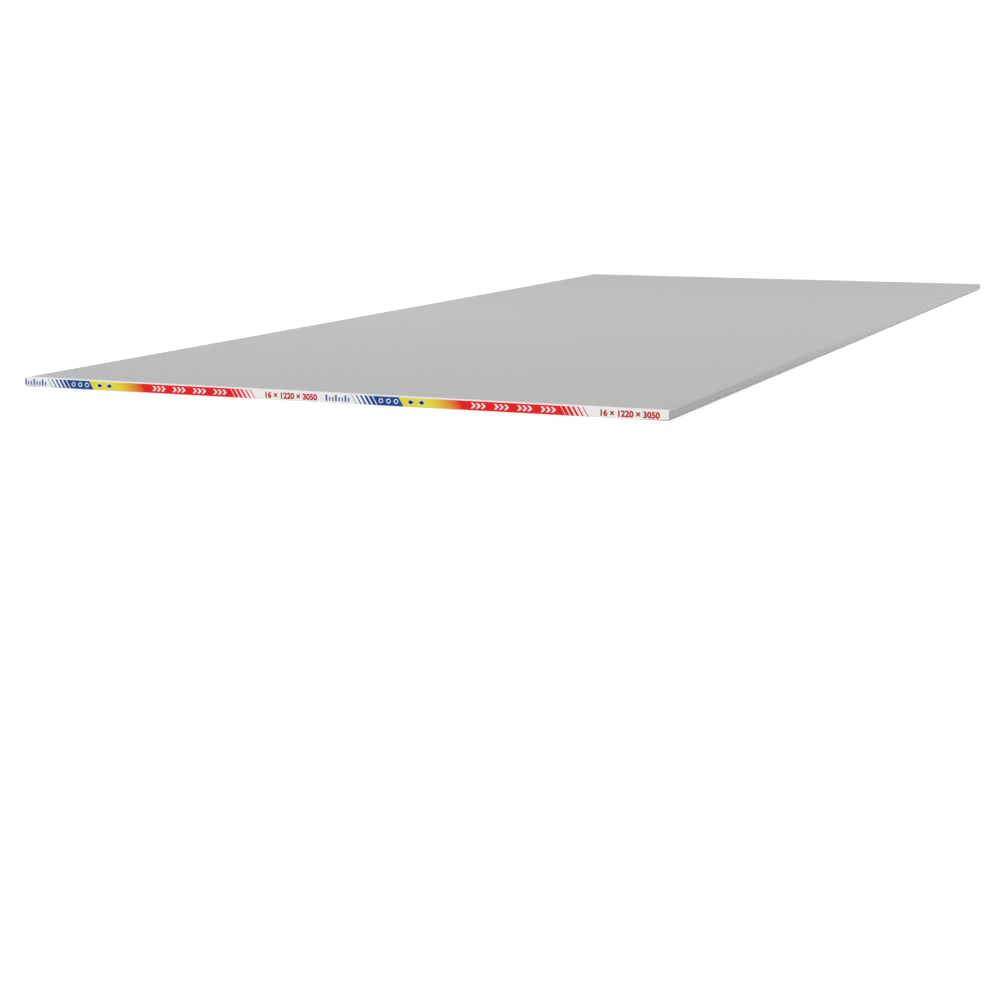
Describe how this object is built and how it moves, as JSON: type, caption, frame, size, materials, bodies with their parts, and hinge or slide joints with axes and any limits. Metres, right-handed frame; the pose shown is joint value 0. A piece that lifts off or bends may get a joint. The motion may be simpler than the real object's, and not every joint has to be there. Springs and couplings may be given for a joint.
{
  "type": "drywall sheet",
  "caption": "Rectangular gypsum board for walls and ceilings, lying flat with its back up: tapered, paper-wrapped long edges and printed paper tape over each cut end.",
  "frame": {"origin": "middle of the face side, on the floor it lies on", "axes": "+Y along the board's length, +X across its width, +Z out of its back"},
  "size_m": [1.2192, 3.0486, 0.0161],
  "materials": {
    "liner_paper": "matt, grey recycled liner paper",
    "tape_paper": "smooth white paper, printed in red, blue and yellow"
  },
  "bodies": {
    "root": {"gypsum_board": "liner_paper", "end_tape_front": "tape_paper", "end_tape_back": "tape_paper"}
  },
  "joints": []
}
